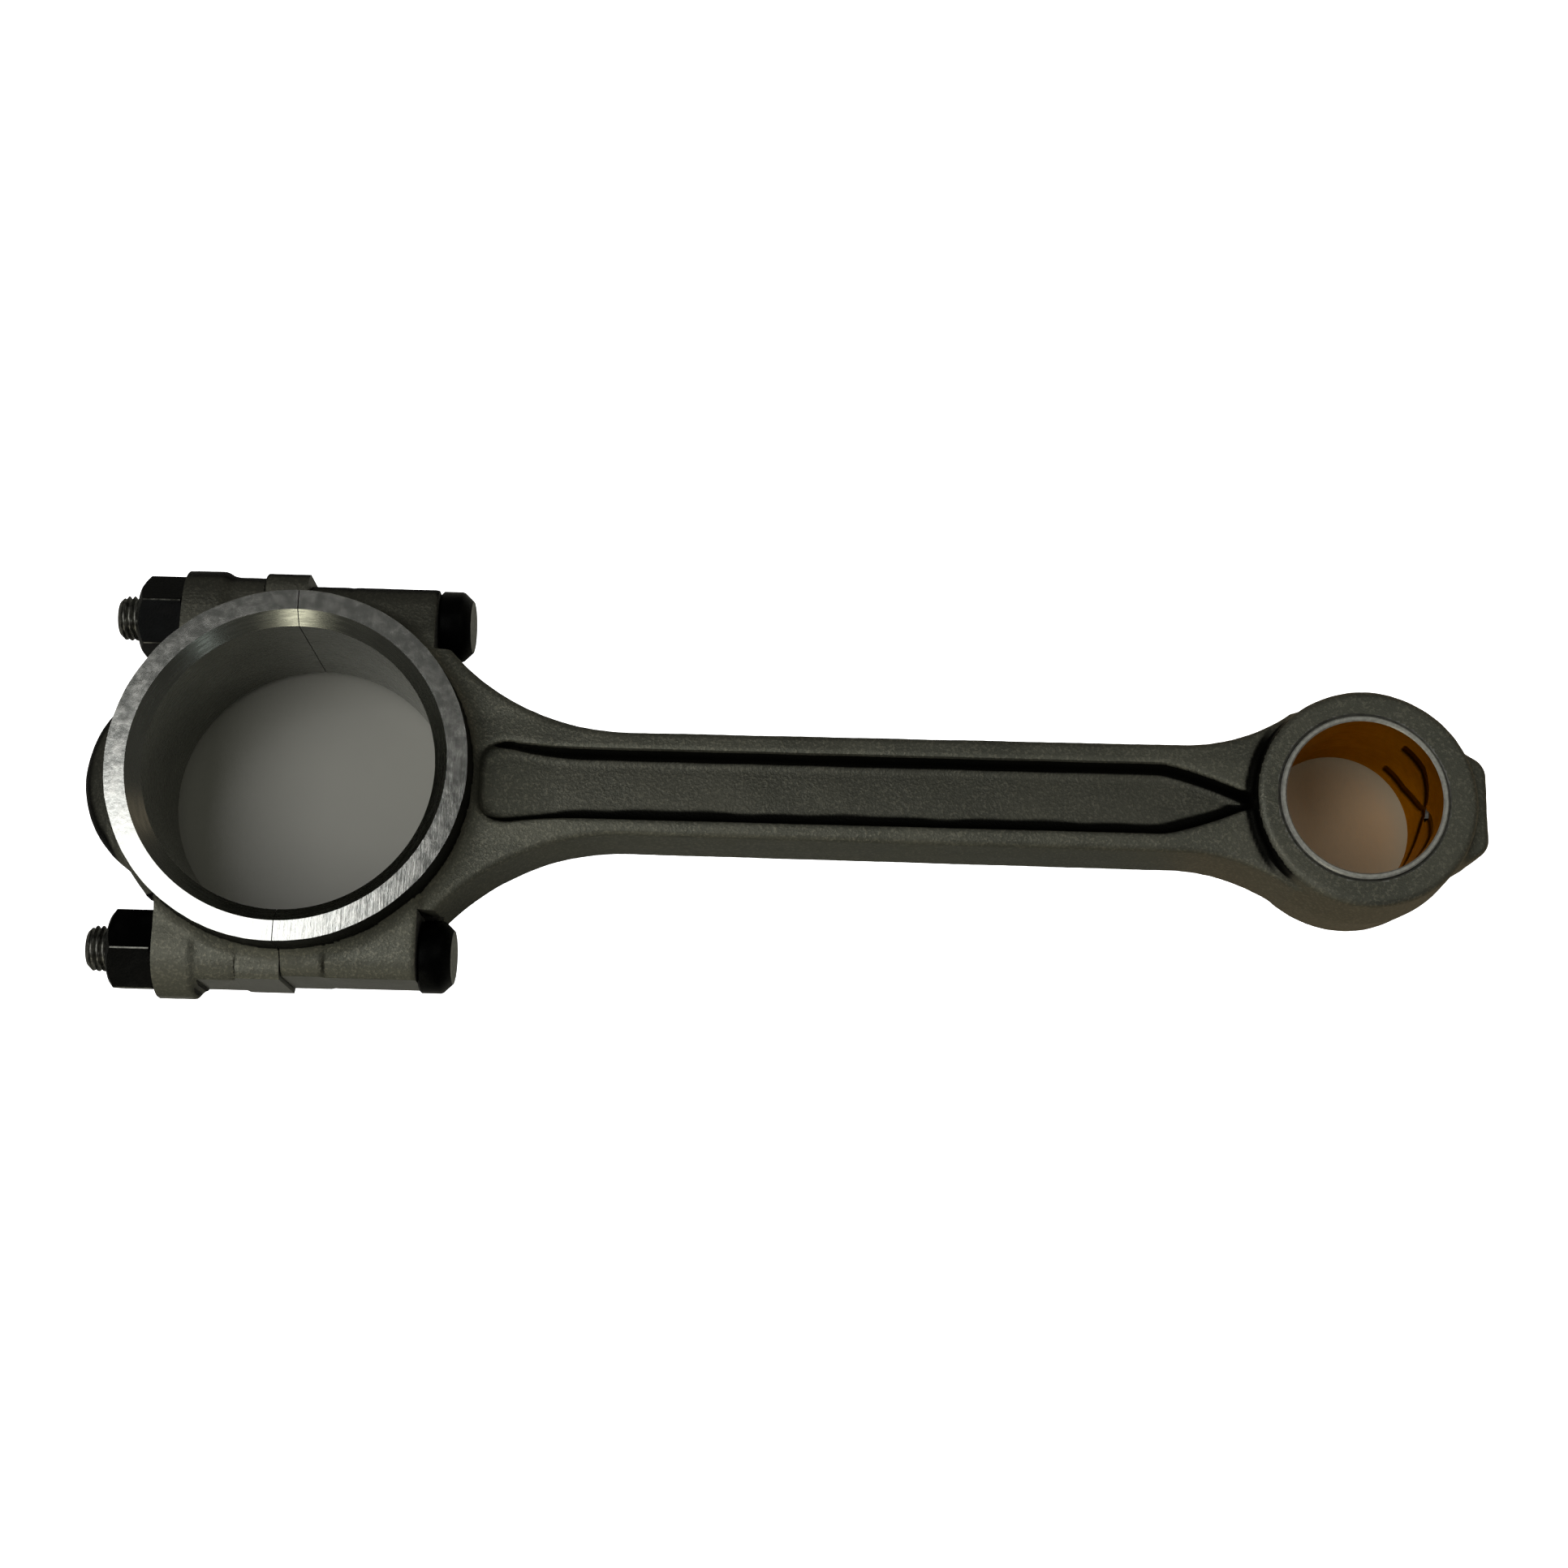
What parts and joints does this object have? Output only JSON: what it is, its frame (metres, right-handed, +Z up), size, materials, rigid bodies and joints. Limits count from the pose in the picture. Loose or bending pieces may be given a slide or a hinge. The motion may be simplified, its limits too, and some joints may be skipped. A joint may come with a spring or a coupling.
{
  "type": "connecting rod",
  "caption": "Forged I-section connecting rod with a bolted big-end cap, hexagon nuts and a bronze-lined small-end bush.",
  "frame": {"origin": "under the middle of the rod's box, on the plane of the big end's lower thrust face", "axes": "+X along the shank from the big end to the small end, +Y across the rod, +Z up through its thickness, along both bores"},
  "size_m": [0.3036, 0.0952, 0.0396],
  "materials": {
    "forged_steel": "shot-blasted forging, machined bright on the big end's faces and bores",
    "black_oxide": "black oxide, satin",
    "bush_bronze": "bored bronze on a steel back"
  },
  "bodies": {
    "rod": {"rod_body": "forged_steel", "small_end_bush": "bush_bronze"},
    "cap": {"bearing_cap": "forged_steel"},
    "bolt_left": {"rod_bolt_left": "black_oxide"},
    "bolt_right": {"rod_bolt_right": "black_oxide"},
    "nut_left": {"cap_nut_left": "black_oxide"},
    "nut_right": {"cap_nut_right": "black_oxide"}
  },
  "joints": [
    {"name": "cap_slide", "type": "slide", "parent": "rod", "child": "cap", "axis": [-1, 0, 0], "range_m": [0, 0.046]},
    {"name": "nut_left_turn", "type": "hinge", "parent": "cap", "child": "nut_left", "pos_m": [-0.1325, 0.0372, 0.0198], "axis": [-1, 0, 0], "range_deg": [0, 4321]},
    {"name": "nut_right_turn", "type": "hinge", "parent": "cap", "child": "nut_right", "pos_m": [-0.1325, -0.0372, 0.0198], "axis": [-1, 0, 0], "range_deg": [0, 4321]},
    {"name": "bolt_left_slide", "type": "slide", "parent": "rod", "child": "bolt_left", "axis": [1, 0, 0], "range_m": [0, 0.015]},
    {"name": "bolt_right_slide", "type": "slide", "parent": "rod", "child": "bolt_right", "axis": [1, 0, 0], "range_m": [0, 0.015]}
  ],
  "couplings": [
    {"joint": "nut_left_turn", "follows": "bolt_left_slide", "rad_per_m": 5026.5},
    {"joint": "nut_right_turn", "follows": "bolt_right_slide", "rad_per_m": 5026.5}
  ]
}
